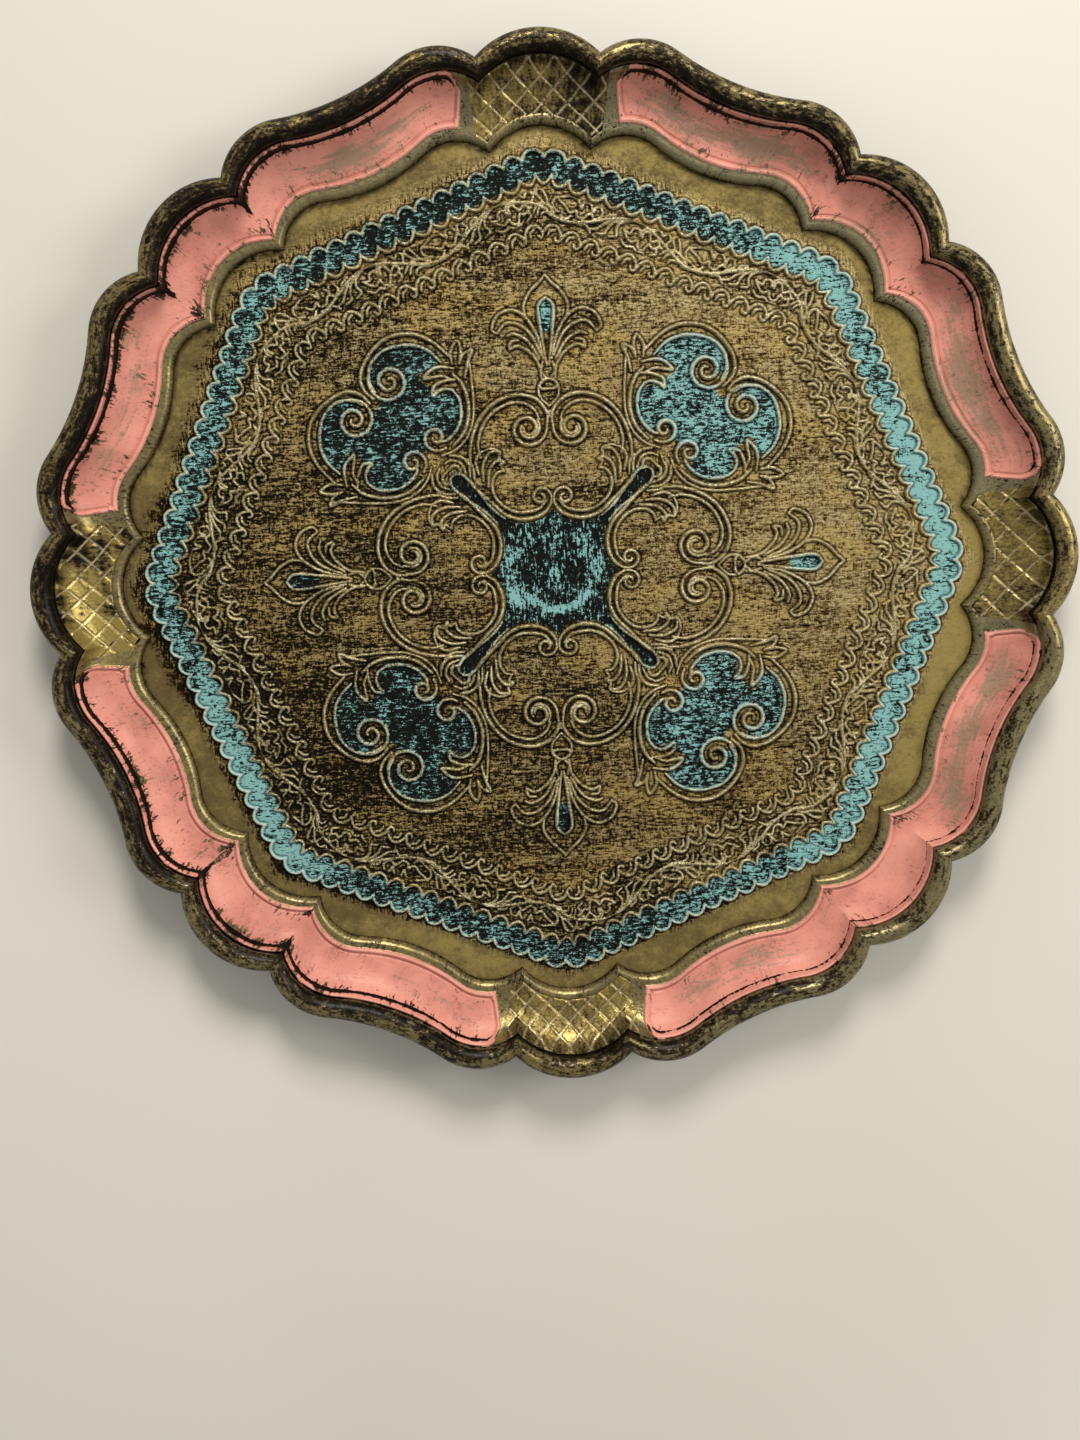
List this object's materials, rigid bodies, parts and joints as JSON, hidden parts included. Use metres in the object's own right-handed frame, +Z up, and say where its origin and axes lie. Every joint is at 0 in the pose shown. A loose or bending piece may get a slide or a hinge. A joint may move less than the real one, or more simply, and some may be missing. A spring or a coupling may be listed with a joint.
{
  "type": "serving tray",
  "caption": "Round scalloped wooden serving tray with a coved rim built from segments round a recessed floor with raised gilt ornament.",
  "frame": {"origin": "centre of the flat underside, on the surface the tray stands on", "axes": "+Z up out of the floor of the tray, which lies flat; +Y towards the middle of the north lattice block, +X towards the middle of the east one"},
  "size_m": [0.3336, 0.3336, 0.021],
  "materials": {
    "back_stain": "dark stained and varnished, satin",
    "floor_gilt": "worn gold leaf over a dark ground with a fine horizontal grain, satin",
    "rim_pink": "rubbed salmon-pink paint over a dark ground, gilded bead, satin",
    "rim_gilt": "worn gold leaf over a dark ground, satin",
    "relief_gilt": "gilded composition, satin",
    "field_blue": "rubbed turquoise paint over a dark ground, matt",
    "pin_steel": "plain wire steel",
    "dowel_beech": "bare"
  },
  "bodies": {
    "root": {"back_board": "back_stain", "floor_board": "floor_gilt", "rim_corner_ne": "rim_pink", "rim_corner_nw": "rim_pink", "rim_corner_sw": "rim_pink", "rim_corner_se": "rim_pink", "rim_block_e": "rim_gilt", "rim_block_n": "rim_gilt", "rim_block_w": "rim_gilt", "rim_block_s": "rim_gilt", "rim_dowels": "dowel_beech", "panel_pins": "pin_steel", "braid_border": "field_blue", "vine_border": "relief_gilt", "lace_border": "relief_gilt", "centre_panel": "field_blue", "heart_scroll_e": "relief_gilt", "heart_scroll_n": "relief_gilt", "heart_scroll_w": "relief_gilt", "heart_scroll_s": "relief_gilt", "palmette_e": "relief_gilt", "palmette_n": "relief_gilt", "palmette_w": "relief_gilt", "palmette_s": "relief_gilt", "cartouche_ne": "field_blue", "cartouche_nw": "field_blue", "cartouche_sw": "field_blue", "cartouche_se": "field_blue"}
  },
  "joints": []
}
